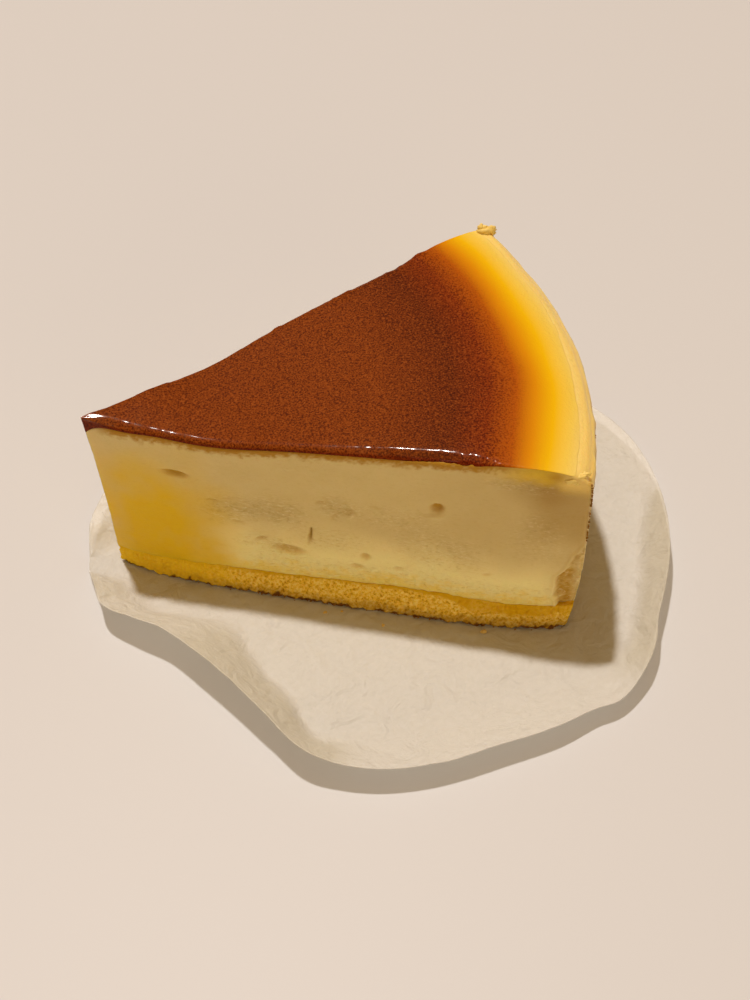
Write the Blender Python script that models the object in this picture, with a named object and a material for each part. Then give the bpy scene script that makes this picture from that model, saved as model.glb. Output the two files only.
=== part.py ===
"""A slice of New York cheesecake: cream filling with a browned top, on a thin sponge base, on its paper liner.

Metres, +Z up. The origin is the middle of the liner's flat underside. The slice lies along X: its tip points to -X
and its two cut faces are mirrored about the line from tip to rim. "Front" is the cut face towards -Y.
"""

import math

import bmesh
import bpy

MM = 0.001

# Driving dimensions of the slice, measured from its tip and from its own underside
CAKE_RADIUS = 113.4 * MM  # tip to outer wall, along the bottom
SLICE_ANGLE = math.radians(47.0)
TIP_HEIGHT = 49.6 * MM
CROWN_HEIGHT = 53.3 * MM  # highest ring of the top, just inside the rim
CROWN_RADIUS = 95.0 * MM
RIM_HEIGHT = 50.8 * MM  # where the rounded rim meets the outer wall
FRONT_DROP = 1.3 * MM  # the crown is this much lower at the front cut
SPONGE_AT_TIP = 5.2 * MM  # thickness of the sponge base
SPONGE_AT_RIM = 10.0 * MM

# Details of the slice
RISE_START = 32.0 * MM  # the top starts to climb towards the crown
FRONT_DISH = (27.0 * MM, 2.2 * MM)  # where the top sinks at the front cut, and how far
BACK_DISH = (38.0 * MM, 1.5 * MM)
DISH_SPREAD = 15.0 * MM
TIP_LEAN = 1.7 * MM  # the top of the tip hangs out over its foot
TIP_LEAN_RUN = 30.0 * MM
WALL_BELLY = 2.1 * MM  # the outer wall swells out above its foot
BELLY_FOOT = 26.0 * MM  # height at which the swell is full
BELLY_TOP = 42.0 * MM  # height at which the wall starts to turn in
RIM_TURN = 1.2 * MM
FRONT_FLARE = 3.3 * MM  # how far the foot of the front cut stands out
BACK_FLARE = 2.0 * MM
FLARE_HEIGHT = 12.0 * MM
FRONT_BOW = 0.8 * MM  # the front cut bows out over its whole height
TEAR_DEPTH = 2.4 * MM  # crumb torn off the front corner of the outer wall
TEAR_WIDTH = 6.5 * MM
TEAR_TOP = 33.0 * MM
FLAKE_HEIGHT = 4.2 * MM  # curl of crumb standing on the far corner of the rim
FLAKE_SPREAD = 2.4 * MM

# Hollows in the front cut: along the cut, height, half length, half height, depth
FRONT_PITS = [
    (19.2 * MM, 35.0 * MM, 3.2 * MM, 2.0 * MM, 1.0 * MM),
    (81.0 * MM, 35.5 * MM, 2.6 * MM, 2.4 * MM, 1.5 * MM),
    (45.5 * MM, 15.5 * MM, 5.0 * MM, 2.2 * MM, 1.2 * MM),
    (64.0 * MM, 16.5 * MM, 3.0 * MM, 2.2 * MM, 0.7 * MM),
]

# Mesh steps of the slice
STEPS_OUT = 50  # tip to rim
STEPS_ROUND = 18  # cut face to cut face
STEPS_UP = 16
SPONGE_STEPS_UP = 4

# Driving dimensions of the liner
LINER_THICKNESS = 0.35 * MM
FLAT_RADIUS = 40.0 * MM  # the liner is flat at least this far out
SEGMENTS = 96
RINGS = 12

# The liner's edge all round: direction in degrees, distance from the middle, height, distance where the sheet starts
# to lift, and the share of the lifted run that bends before it goes on straight.
# The sheet is a 150 mm round with one side cut straight, the one that stands up steeply at -165 to -117 degrees.
LINER_EDGE = [
    (-177.0, 72.9 * MM, 7.0 * MM, 60.0 * MM, 0.40),
    (-171.0, 72.2 * MM, 7.5 * MM, 57.0 * MM, 0.40),
    (-165.0, 67.4 * MM, 9.0 * MM, 50.0 * MM, 0.30),
    (-158.0, 62.5 * MM, 10.0 * MM, 43.3 * MM, 0.20),
    (-148.0, 60.7 * MM, 11.5 * MM, 44.2 * MM, 0.15),
    (-137.0, 61.4 * MM, 12.0 * MM, 48.3 * MM, 0.15),
    (-126.0, 65.0 * MM, 11.2 * MM, 51.5 * MM, 0.15),
    (-117.0, 70.0 * MM, 9.5 * MM, 59.0 * MM, 0.20),
    (-110.0, 71.3 * MM, 7.5 * MM, 57.5 * MM, 0.40),
    (-102.0, 71.6 * MM, 6.5 * MM, 54.0 * MM, 0.50),
    (-92.0, 70.9 * MM, 6.1 * MM, 53.0 * MM, 0.50),
    (-80.0, 70.1 * MM, 6.0 * MM, 53.0 * MM, 0.50),
    (-68.0, 71.8 * MM, 5.5 * MM, 54.0 * MM, 0.50),
    (-61.0, 72.9 * MM, 5.0 * MM, 57.0 * MM, 0.40),
    (-56.0, 75.2 * MM, 4.6 * MM, 61.0 * MM, 0.30),
    (-48.0, 75.0 * MM, 6.0 * MM, 64.0 * MM, 0.30),
    (-42.0, 73.7 * MM, 6.5 * MM, 64.5 * MM, 0.25),
    (-37.0, 71.8 * MM, 6.5 * MM, 64.3 * MM, 0.20),
    (-29.0, 71.1 * MM, 7.0 * MM, 63.5 * MM, 0.20),
    (-18.0, 71.3 * MM, 7.0 * MM, 62.9 * MM, 0.20),
    (-8.0, 71.9 * MM, 6.0 * MM, 64.5 * MM, 0.20),
    (-2.0, 73.0 * MM, 4.0 * MM, 67.0 * MM, 0.30),
    (5.0, 74.3 * MM, 2.5 * MM, 66.0 * MM, 0.40),
    (16.0, 74.8 * MM, 3.6 * MM, 62.0 * MM, 0.50),
    (25.0, 74.4 * MM, 3.2 * MM, 62.0 * MM, 0.50),
    (40.0, 74.6 * MM, 1.6 * MM, 66.0 * MM, 0.50),
    (56.0, 74.0 * MM, 0.8 * MM, 70.0 * MM, 0.50),
    (72.0, 72.0 * MM, 2.5 * MM, 62.0 * MM, 0.50),
    (86.0, 71.2 * MM, 4.0 * MM, 57.0 * MM, 0.50),
    (100.0, 71.2 * MM, 4.5 * MM, 55.0 * MM, 0.50),
    (112.0, 71.6 * MM, 7.0 * MM, 52.0 * MM, 0.50),
    (123.0, 72.4 * MM, 8.5 * MM, 50.0 * MM, 0.50),
    (136.0, 73.8 * MM, 6.0 * MM, 54.0 * MM, 0.50),
    (148.0, 74.8 * MM, 3.6 * MM, 60.0 * MM, 0.50),
    (158.0, 75.0 * MM, 4.0 * MM, 60.0 * MM, 0.50),
    (166.0, 75.0 * MM, 5.0 * MM, 60.0 * MM, 0.40),
    (175.0, 74.6 * MM, 6.0 * MM, 60.0 * MM, 0.40),
]

# Where the slice stands on the liner
GAP = 0.3 * MM  # between pieces that touch
SLICE_TIP = (-66.0 * MM, 9.0 * MM)
SLICE_FLOOR = LINER_THICKNESS + GAP
CLEAR_OF_SLICE = 4.5 * MM  # the liner stays flat this far round the slice
CLEAR_RUN = 7.0 * MM

COLOURS = {
    "cheesecake": (0.72, 0.55, 0.25, 1.0),
    "sponge": (0.62, 0.36, 0.06, 1.0),
    "paper": (0.82, 0.78, 0.70, 1.0),
}
ROUGHNESS = {"cheesecake": 0.45, "sponge": 0.9, "paper": 0.6}


def ease(t):
    """0 below 0, 1 above 1, and smooth between."""
    t = max(0.0, min(1.0, t))
    return t * t * (3.0 - 2.0 * t)


def hump(distance, spread):
    return math.exp(-((distance / spread) ** 2))


def clear_scene():
    for obj in list(bpy.data.objects):
        bpy.data.objects.remove(obj)


def make_material(name):
    material = bpy.data.materials.new(name)
    material.use_nodes = True
    shader = material.node_tree.nodes["Principled BSDF"]
    shader.inputs["Base Color"].default_value = COLOURS[name]
    shader.inputs["Roughness"].default_value = ROUGHNESS[name]
    shader.inputs["Metallic"].default_value = 0.0
    return material


def make_object(name, bm, material_name):
    mesh = bpy.data.meshes.new(name)
    bm.to_mesh(mesh)
    bm.free()
    obj = bpy.data.objects.new(name, mesh)
    bpy.context.scene.collection.objects.link(obj)
    mesh.materials.append(make_material(material_name))
    mesh.shade_smooth()
    mesh.set_sharp_from_angle(angle=math.radians(40.0))
    return obj


# The slice's outline


def top_height(r, round_):
    """Height of the browned top: a shallow dish, a crown, then the rounded rim, all lower towards the front cut."""
    rise = (CROWN_HEIGHT - TIP_HEIGHT) * ease((r - RISE_START) / (CROWN_RADIUS - RISE_START))
    drop = FRONT_DROP * (1.0 - round_) * ease(r / CROWN_RADIUS * 1.5)
    dish_radius = FRONT_DISH[0] + (BACK_DISH[0] - FRONT_DISH[0]) * round_
    dish_depth = FRONT_DISH[1] + (BACK_DISH[1] - FRONT_DISH[1]) * round_
    dish = dish_depth * hump(r - dish_radius, DISH_SPREAD)
    over_rim = max(0.0, (r - CROWN_RADIUS) / (CAKE_RADIUS - CROWN_RADIUS))
    return TIP_HEIGHT + rise - drop - dish - (CROWN_HEIGHT - RIM_HEIGHT) * over_rim**4


def wall_radius(z):
    """Distance of the outer wall from the tip at a height: narrow at the foot, full at the belly, in at the rim."""
    swell = math.sin(0.5 * math.pi * min(1.0, z / BELLY_FOOT))
    turn_in = max(0.0, min(1.0, (z - BELLY_TOP) / (RIM_HEIGHT - BELLY_TOP))) ** 3
    return CAKE_RADIUS + WALL_BELLY * swell - RIM_TURN * turn_in


def layer_height(x):
    """Height of the sloping plane between the sponge and the filling."""
    return SPONGE_AT_TIP + (SPONGE_AT_RIM - SPONGE_AT_TIP) * x / CAKE_RADIUS


def flare(r, z, foot):
    """How far a cut face stands out from its flat plane: most at the foot, nothing at the tip and the rim."""
    along = 1.0 - abs(2.0 * r / CAKE_RADIUS - 1.0) ** 5
    return max(0.0, along) * (FRONT_BOW + foot * math.exp(-z / FLARE_HEIGHT))


def front_hollow(r, z):
    """Depth of the pits and of the torn corner in the front cut."""
    depth = 0.0
    for along, height, half_length, half_height, pit_depth in FRONT_PITS:
        depth += pit_depth * hump(r - along, half_length) * hump(z - height, half_height)
    width = TEAR_WIDTH * ease((TEAR_TOP - z) / TEAR_TOP * 2.2)
    if width > 0.0:
        depth += TEAR_DEPTH * ease((r - CAKE_RADIUS - WALL_BELLY + width) / width)
    return depth


def place_on_slice(out, round_, z):
    """Point of the slice for shares out (tip to rim) and round (front cut to back cut) at a height."""
    r = out * wall_radius(z)
    half = SLICE_ANGLE / 2.0
    angle = -half + round_ * SLICE_ANGLE
    push_front = ease(1.0 - round_ * 4.0) * (flare(r, z, FRONT_FLARE) - front_hollow(r, z))
    push_back = ease(round_ * 4.0 - 3.0) * flare(r, z, BACK_FLARE)
    lean = TIP_LEAN * (z / TIP_HEIGHT) ** 2 * max(0.0, 1.0 - r / TIP_LEAN_RUN)
    x = r * math.cos(angle) - (push_front + push_back) * math.sin(half) - lean
    y = r * math.sin(angle) + (push_back - push_front) * math.cos(half)
    return x, y, z


def bunched(t, power):
    """Spacing that gathers steps towards 1."""
    return 1.0 - (1.0 - t) ** power


def bunched_at_ends(t):
    """Spacing that gathers steps towards 0 and 1."""
    return 0.5 - 0.5 * math.cos(math.pi * t)


def slice_block(steps_up):
    """A unit block, open to no side: X runs tip to rim, Y front cut to back cut, Z up, each in even steps."""
    bm = bmesh.new()
    bmesh.ops.create_grid(bm, x_segments=STEPS_OUT, y_segments=STEPS_ROUND, size=0.5)
    for vert in bm.verts:
        vert.co.x += 0.5
        vert.co.y += 0.5
    layer = [*bm.verts, *bm.edges, *bm.faces]
    for step in range(steps_up):
        layer = bmesh.ops.extrude_face_region(bm, geom=layer)["geom"]
        for part in layer:
            if isinstance(part, bmesh.types.BMVert):
                part.co.z = (step + 1.0) / steps_up
    bmesh.ops.recalc_face_normals(bm, faces=bm.faces)
    return bm


def merge_flat_face(bm, share):
    """Makes one face of all the faces at this share of the block's height."""
    flat = [f for f in bm.faces if all(abs(v.co.z - share) < 1e-6 for v in f.verts)]
    bmesh.ops.dissolve_faces(bm, faces=flat, use_verts=False)
    loose = [v for v in bm.verts if not v.link_faces]
    bmesh.ops.delete(bm, geom=loose, context="VERTS")


def far_corner_flake(out, round_):
    """Height of the curl of crumb on the corner where the rim meets the back cut."""
    r = out * CAKE_RADIUS
    across = (1.0 - round_) * SLICE_ANGLE * r
    away = math.hypot(r - CAKE_RADIUS, across - 0.5 * FLAKE_SPREAD)
    return FLAKE_HEIGHT * hump(away, FLAKE_SPREAD)


def close_tip(bm):
    """Draws the block's end face together into the slice's upright tip."""
    tip = [v for v in bm.verts if v.co.xy.length < 2.0 * TIP_LEAN and abs(v.co.y) < 1e-6]
    bmesh.ops.remove_doubles(bm, verts=tip, dist=0.01 * MM)


def make_filling():
    """The cream filling with its browned top, from the layer plane up."""
    bm = slice_block(STEPS_UP)
    merge_flat_face(bm, 0.0)
    for vert in bm.verts:
        out, round_, up = bunched(vert.co.x, 1.25), bunched_at_ends(vert.co.y), bunched(vert.co.z, 1.15)
        top = top_height(out * CAKE_RADIUS, round_) + far_corner_flake(out, round_) * up**8
        x, y, z = place_on_slice(out, round_, up * top)
        for _ in range(6):
            z = layer_height(x) + GAP + up * (top - layer_height(x) - GAP)
            x, y, z = place_on_slice(out, round_, z)
        vert.co = (x, y, z)
    close_tip(bm)
    return make_object("cheesecake_filling", bm, "cheesecake")


def make_sponge():
    """The thin sponge base, from the liner up to the layer plane."""
    bm = slice_block(SPONGE_STEPS_UP)
    merge_flat_face(bm, 0.0)
    merge_flat_face(bm, 1.0)
    for vert in bm.verts:
        out, round_, up = bunched(vert.co.x, 1.25), bunched_at_ends(vert.co.y), vert.co.z
        x, y, z = place_on_slice(out, round_, up * SPONGE_AT_TIP)
        for _ in range(6):
            x, y, z = place_on_slice(out, round_, up * layer_height(x))
        vert.co = (x, y, z)
    close_tip(bm)
    return make_object("sponge_base", bm, "sponge")


# The liner


def edge_row(number):
    """Direction in degrees and the other values of a row of the edge table, which goes on past both its ends."""
    turns, row = divmod(number, len(LINER_EDGE))
    return LINER_EDGE[row][0] + 360.0 * turns, LINER_EDGE[row][1:]


def edge_at(direction):
    """Radius, height, start and bend share of the sheet in a direction, on cubic curves through the table's rows."""
    degrees = math.degrees(direction)
    row = -1
    while edge_row(row + 1)[0] <= degrees:
        row += 1
    (d0, v0), (d1, v1), (d2, v2), (d3, v3) = (edge_row(row + step) for step in (-1, 0, 1, 2))
    t = (degrees - d1) / (d2 - d1)
    values = []
    for a, b, c, d in zip(v0, v1, v2, v3):
        leave = (c - a) / (d2 - d0) * (d2 - d1)
        arrive = (d - b) / (d3 - d1) * (d2 - d1)
        start = b * (1.0 + 2.0 * t) * (1.0 - t) ** 2 + leave * t * (1.0 - t) ** 2
        values.append(start + c * t**2 * (3.0 - 2.0 * t) + arrive * t**2 * (t - 1.0))
    return values


def beyond_slice(x, y):
    """Distance in plan from the slice's outline, negative inside it."""
    x, y = x - SLICE_TIP[0], y - SLICE_TIP[1]
    half = SLICE_ANGLE / 2.0
    past_front = -x * math.sin(half) - y * math.cos(half)
    past_back = -x * math.sin(half) + y * math.cos(half)
    past_wall = math.hypot(x, y) - CAKE_RADIUS - WALL_BELLY
    return max(past_front, past_back, past_wall)


def lay_out_ray(direction):
    """Points of the sheet along one direction, from the flat middle to the edge: a bend, then straight up."""
    edge, top, start, bend = edge_at(direction)
    run = bend * (edge - start)
    ray = []
    for ring in range(RINGS + 1):
        radius = FLAT_RADIUS + (edge - FLAT_RADIUS) * ring / RINGS
        x, y = radius * math.cos(direction), radius * math.sin(direction)
        past = max(0.0, radius - start)
        climb = past**2 / (2.0 * run) if past < run else past - run / 2.0
        height = top * climb / (edge - start - run / 2.0)
        ray.append((x, y, height * ease((beyond_slice(x, y) - CLEAR_OF_SLICE) / CLEAR_RUN)))
    return ray


def make_liner():
    """The thin paper sheet under the slice: flat in the middle, its edge lifted all round."""
    bm = bmesh.new()
    bmesh.ops.create_circle(bm, cap_ends=True, segments=SEGMENTS, radius=FLAT_RADIUS)
    edge = [e for e in bm.edges if e.is_boundary]
    for ring in range(1, RINGS + 1):
        raised = bmesh.ops.extrude_edge_only(bm, edges=edge)["geom"]
        edge = [part for part in raised if isinstance(part, bmesh.types.BMEdge)]
        for part in raised:
            if isinstance(part, bmesh.types.BMVert):
                part.co = lay_out_ray(math.atan2(part.co.y, part.co.x))[ring]
    bmesh.ops.recalc_face_normals(bm, faces=bm.faces)
    if sum(face.normal.z for face in bm.faces) < 0.0:
        bmesh.ops.reverse_faces(bm, faces=bm.faces)
    bmesh.ops.triangulate(bm, faces=bm.faces)
    liner = make_object("paper_liner", bm, "paper")
    wall = liner.modifiers.new("Thickness", "SOLIDIFY")
    wall.thickness = LINER_THICKNESS
    wall.offset = 1.0
    return liner


def main():
    clear_scene()
    place = bpy.data.objects.new("slice_place", None)
    bpy.context.scene.collection.objects.link(place)
    place.location = (*SLICE_TIP, SLICE_FLOOR)
    for piece in (make_filling(), make_sponge()):
        piece.parent = place
    make_liner()


main()
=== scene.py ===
import math

import bpy
import numpy as np
from mathutils import Matrix, Vector


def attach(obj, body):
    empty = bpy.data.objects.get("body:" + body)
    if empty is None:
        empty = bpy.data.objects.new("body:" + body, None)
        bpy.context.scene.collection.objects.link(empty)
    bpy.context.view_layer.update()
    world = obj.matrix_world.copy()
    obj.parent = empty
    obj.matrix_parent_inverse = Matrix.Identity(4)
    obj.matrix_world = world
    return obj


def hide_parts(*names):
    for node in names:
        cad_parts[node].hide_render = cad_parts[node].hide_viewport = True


# A slice of New York cheesecake on its greaseproof liner. All shapes below are in millimetres; toMetres
# turns them. Slice coordinates: r is the distance from the tip, share runs 0..1 from the front cut to the
# back cut, z is up from the slice's own underside.

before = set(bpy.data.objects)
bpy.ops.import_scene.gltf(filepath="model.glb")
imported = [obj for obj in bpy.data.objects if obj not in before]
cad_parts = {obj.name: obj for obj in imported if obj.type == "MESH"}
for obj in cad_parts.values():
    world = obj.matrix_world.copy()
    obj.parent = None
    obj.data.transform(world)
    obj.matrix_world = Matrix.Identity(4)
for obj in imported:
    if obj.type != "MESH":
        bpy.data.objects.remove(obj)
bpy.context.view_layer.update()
toMetres = 0.001
print("frame loaded")


def smooth(t):
    # 0 below 0, 1 above 1, 3 t squared - 2 t cubed between
    t = np.clip(t, 0.0, 1.0)
    return t * t * (3.0 - 2.0 * t)


def between(pair, share):
    # straight from the first value at share 0 to the second at share 1
    return pair[0] + (pair[1] - pair[0]) * share


def hump(distance, width):
    # bell: exp(-(distance / width) squared)
    return np.exp(-(distance / width) ** 2)


def hashed(ix, iy, iz, seed):
    # one fixed value from 0 to 1 for each whole-number corner of a lattice
    h = (ix * 374761393 + iy * 668265263 + iz * 1442695041 + seed * 1274126177) & 0xFFFFFFFF
    h = ((h ^ (h >> 13)) * 1103515245) & 0xFFFFFFFF
    h = ((h ^ (h >> 16)) * 2246822519) & 0xFFFFFFFF
    return (h ^ (h >> 15)) / 4294967295.0


def noise(x, y, z, size, seed):
    # value noise from -1 to 1: corner values blended smoothly inside each cell of the given size
    x, y, z = np.broadcast_arrays(x / size, y / size, z / size)
    ix, iy, iz = np.floor(x).astype(np.int64), np.floor(y).astype(np.int64), np.floor(z).astype(np.int64)
    fx, fy, fz = smooth(x - ix), smooth(y - iy), smooth(z - iz)
    total = np.zeros(x.shape)
    for cx, cy, cz in [(a, b, c) for a in (0, 1) for b in (0, 1) for c in (0, 1)]:
        weight = (fx if cx else 1 - fx) * (fy if cy else 1 - fy) * (fz if cz else 1 - fz)
        total = total + weight * hashed(ix + cx, iy + cy, iz + cz, seed)
    return total * 2.0 - 1.0


def layered(x, y, z, size, seed, octaves=3, fade=0.5):
    # sum of noises, each half the size and fade times the height of the one before
    total, height = 0.0, 1.0
    for octave in range(octaves):
        total = total + height * noise(x, y, z, size / 2 ** octave, seed + octave * 17)
        height *= fade
    return total


def gathered(count, pull):
    # count steps from 0 to 1, closer together at both ends: t - pull sin(2 pi t) / (2 pi)
    t = np.linspace(0.0, 1.0, count)
    return t - pull * np.sin(2 * math.pi * t) / (2 * math.pi)


def putMesh(name, material, points, faces, values=None):
    # points in mm (n, 3), faces as a list of index lists, values as point attributes by name
    mesh = bpy.data.meshes.new(name)
    mesh.from_pydata((points * toMetres).tolist(), [], faces)
    for key, numbers in (values or {}).items():
        mesh.attributes.new(key, "FLOAT", "POINT").data.foreach_set("value", numbers.astype(np.float32))
    mesh.update()
    mesh.shade_smooth()
    piece = bpy.data.objects.new(name, mesh)
    bpy.context.scene.collection.objects.link(piece)
    piece.data.materials.append(material)
    return piece


def cells(ids):
    # the four corners of each cell of a grid of point numbers, facing first direction x second direction
    return np.stack([ids[:-1, :-1], ids[1:, :-1], ids[1:, 1:], ids[:-1, 1:]], axis=-1).reshape(-1, 4)


def closedGrid(rows, columns):
    # numbers of a grid of points, the first column again at the end so that the grid closes
    ids = np.arange(rows * columns).reshape(rows, columns)
    return np.concatenate([ids, ids[:, :1]], axis=1)


def fan(point, first, second):
    # triangles from one point to each pair of neighbours
    return np.stack([np.full(len(first), point), first, second], axis=-1)


def blockFaces(nu, nw, nv):
    # the skin of a block of nu x nw x nv lattice points whose side u = 0 is drawn together into one upright
    # edge; returns the lattice numbers u, w, v of the points used and the faces
    def number(u, w, v):
        u, w, v = np.broadcast_arrays(u, w, v)
        return (u * nw + np.where(u == 0, 0, w)) * nv + v
    u, w, v = np.arange(nu), np.arange(nw), np.arange(nv)
    sides = [
        number(u[:, None], 0, v[None, :]),           # front cut
        number(u[None, :], nw - 1, v[:, None]),      # back cut
        number(u[:, None], w[None, :], nv - 1),      # top
        number(u[None, :], w[:, None], 0),           # underside
        number(nu - 1, w[:, None], v[None, :]),      # outer wall
    ]
    quads = np.concatenate([cells(ids) for ids in sides])
    used, faces = np.unique(quads, return_inverse=True)
    faces = faces.reshape(-1, 4)
    drawn = (faces[:, 0] == faces[:, 1]) | (faces[:, 0] == faces[:, 3])
    triangles = np.where((faces[drawn, 0] == faces[drawn, 1])[:, None], faces[drawn][:, 1:],
                         faces[drawn][:, :3])
    return used // (nw * nv), used // nv % nw, used % nv, faces[~drawn].tolist() + triangles.tolist()


sliceShape = {
    "tipAt": (-66.0, 9.0), "floor": 0.65, "radius": 113.4, "angle": 47.0,
    "tipHeight": 49.6, "crownHeight": 53.3, "crownRadius": 95.0, "rimHeight": 50.8, "frontDrop": 1.3,
    "riseStart": 32.0, "dishSpread": 15.0, "farCorner": 0.6,
    "dishAt": (27.0, 30.0), "dishDepth": (2.2, 1.8),   # by the front cut, by the back cut
    "tipDroop": (10.0, 5.0, 0.8),                      # along r, half length, depth
    "tipLean": 1.7, "tipLeanRun": 30.0,
    "belly": 2.1, "bellyFoot": 26.0, "bellyTop": 42.0, "rimTurn": 1.2,
    "frontFlare": 3.3, "backFlare": 2.0, "flareHeight": 12.0, "bow": 0.8,
    "spongeAtTip": 5.2, "spongeAtRim": 10.0, "rimDip": 2.0, "seamWave": 0.22, "sway": (-0.5, 1.1),
    "nearMm": 0.9, "underMm": 0.5,   # how far in from a face its relief dies away
}
halfAngle = math.radians(sliceShape["angle"] / 2)
rimArc = 92.0   # length round the rim, for relief that runs along it


def inPlan(r, share):
    # x and y from the tip: r cos and r sin of the angle from the middle line
    turn = (2 * share - 1) * halfAngle
    return r * np.cos(turn), r * np.sin(turn)


def topHeight(r, share):
    # tip height + rise to the crown - drop towards the front - a shallow dish - a short droop behind the
    # tip - the fourth-power turn over the rim, which is flatter at the far corner
    s = sliceShape
    climbed = (r - s["riseStart"]) / (s["crownRadius"] - s["riseStart"])
    rise = (s["crownHeight"] - s["tipHeight"]) * smooth(climbed)
    drop = s["frontDrop"] * (1 - share) * smooth(r / s["crownRadius"] * 1.5)
    dish = between(s["dishDepth"], share) * hump(r - between(s["dishAt"], share), s["dishSpread"])
    over = np.maximum(0, (r - s["crownRadius"]) / (s["radius"] - s["crownRadius"]))
    turn = (s["crownHeight"] - s["rimHeight"]) * np.minimum(over, 1.05) ** 4
    turn = turn * (1 - s["farCorner"] * smooth((share - 0.78) / 0.2))
    droopAt, droopRun, droop = s["tipDroop"]
    turn = turn + droop * (1 - 0.7 * share) * hump(r - droopAt, droopRun)
    return s["tipHeight"] + rise - drop - dish - turn


def wallRadius(z, share=0.5):
    # foot radius + belly sin(z) up to the belly - a cubic turn inwards under the rim + a sway from front to
    # back
    s = sliceShape
    swell = np.sin(0.5 * math.pi * np.clip(z / s["bellyFoot"], 0, 1))
    turn = np.clip((z - s["bellyTop"]) / (s["rimHeight"] - s["bellyTop"]), 0, 1) ** 3
    return s["radius"] + s["belly"] * swell - s["rimTurn"] * turn + between(s["sway"], share)


def layerHeight(r, share):
    # the sloping plane between sponge and filling, straight from tip to rim, less a dip just inside the
    # rim, uneven by a few tenths where crumb and cream have run into each other
    s = sliceShape
    x, y = inPlan(r, share)
    dip = s["rimDip"] * smooth((x - 66.0) / 30.0)
    uneven = s["seamWave"] * layered(x, y, 0.0, 2.8, 19, 3, 0.65) * smooth(r / 8.0)
    return s["spongeAtTip"] + (s["spongeAtRim"] - s["spongeAtTip"]) * x / s["radius"] - dip + uneven


def flare(r, z, foot):
    # how far a cut stands out: (1 - |2r / radius - 1| to the 5th) x (bow + foot exp(-z / flareHeight))
    s = sliceShape
    along = np.maximum(0, 1 - np.abs(2 * r / s["radius"] - 1) ** 5)
    return along * (s["bow"] + foot * np.exp(-np.maximum(z, 0) / s["flareHeight"]))


def slicePoint(r, share, z, frontOut=0.0, backOut=0.0):
    # polar place (r, share) turned into x and y, each cut pushed out along its own normal, the tip leaning
    # out on top
    s = sliceShape
    x, y = inPlan(r, share)
    pushFront = smooth(1 - 4 * share) * flare(r, z, s["frontFlare"]) + frontOut
    pushBack = smooth(4 * share - 3) * flare(r, z, s["backFlare"]) + backOut
    lean = s["tipLean"] * (z / s["tipHeight"]) ** 2 * np.maximum(0, 1 - r / s["tipLeanRun"])
    x = x - (pushFront + pushBack) * math.sin(halfAngle) - lean + s["tipAt"][0]
    y = y + (pushBack - pushFront) * math.cos(halfAngle) + s["tipAt"][1]
    return np.stack([x, y, z + s["floor"]], axis=-1)


def roundOff(a, b, radius):
    # a and b are distances to two faces that meet in an edge; they move onto a quarter round of that radius
    total = a + b
    part = np.where(total > 1e-9, a / np.maximum(total, 1e-9), 0.5)
    turn = 0.25 * math.pi * np.clip(1 - total / radius, 0, 1)
    far, near = radius * (1 - np.sin(turn)), radius * (1 - np.cos(turn))
    inside = total < radius
    rounded = np.where(inside, part * far + (1 - part) * near, a)
    return rounded, np.where(inside, part * near + (1 - part) * far, b)


def layerPiece(name, material, steps, pull, reach, lowest, highest, rounding, relief, values):
    # a layer of the slice as one closed skin. reach(share, z) is its outer radius, lowest and highest(r,
    # share) its heights; depth is how far in from each face, near is exp(-depth / nearMm), and relief(r,
    # share, z, near) gives how far front, back, top, wall and underside stand out
    s = sliceShape
    iu, iw, iv, faces = blockFaces(*steps)
    u, w, v = (gathered(count, tight)[index] for count, tight, index in zip(steps, pull, (iu, iw, iv)))
    full = reach(w, s["rimHeight"] * 0.5)
    low, high = lowest(u * full, w), highest(u * full, w)
    z = low + v * (high - low)
    limit = reach(w, z)
    r = u * limit
    low, high = lowest(r, w), highest(r, w)
    z = low + v * (high - low)
    width = 2 * halfAngle * np.maximum(r, 0.05)
    was = {"front": w * width, "back": (1 - w) * width, "top": high - z, "under": z - low, "wall": limit - r}
    near = {face: np.exp(-was[face] / s["underMm" if face == "under" else "nearMm"]) for face in was}
    depth = dict(was)
    edge, foot = np.minimum(rounding["top"](r), 0.3 * width), np.minimum(rounding["foot"], 0.3 * width)
    for one, other, radius in (("front", "top", edge), ("back", "top", edge),
                               ("wall", "top", rounding["rim"]),
                               ("wall", "front", rounding["corner"]), ("wall", "back", rounding["corner"]),
                               ("front", "under", foot), ("back", "under", foot),
                               ("wall", "under", rounding["foot"])):
        depth[one], depth[other] = roundOff(depth[one], depth[other], radius)
    moved = {face: depth[face] - was[face] for face in was}
    z = z - moved["top"] + moved["under"]
    r = np.maximum(0, r - moved["wall"])
    share = w + (moved["front"] - moved["back"]) / width
    relieved = relief(r, share, z, near)
    out = {face: relieved.get(face, 0) * near[face] for face in near}
    points = slicePoint(r + out["wall"], share, z + out["top"] - out["under"], out["front"], out["back"])
    return putMesh(name, material, points, faces, values(r, share, z, near))


def hexColour(text):
    # sRGB hex to linear RGBA
    parts = [int(text[i:i + 2], 16) / 255 for i in (1, 3, 5)]
    return [p / 12.92 if p <= 0.04045 else ((p + 0.055) / 1.055) ** 2.4 for p in parts] + [1.0]


def add(tree, kind, settings=None, links=None):
    # one node: settings are its properties or socket values, links are the outputs that feed its sockets
    node = tree.nodes.new(kind)
    for key, value in (settings or {}).items():
        if isinstance(key, str) and hasattr(node, key):
            setattr(node, key, value)
        else:
            node.inputs[key].default_value = value
    for key, output in (links or {}).items():
        tree.links.new(output, node.inputs[key])
    return node


def newMaterial(name):
    # an empty material, its nodes and its Principled shader
    material = bpy.data.materials.new(name)
    material.use_nodes = True
    shader = material.node_tree.nodes["Principled BSDF"]
    return material, material.node_tree, shader


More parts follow.
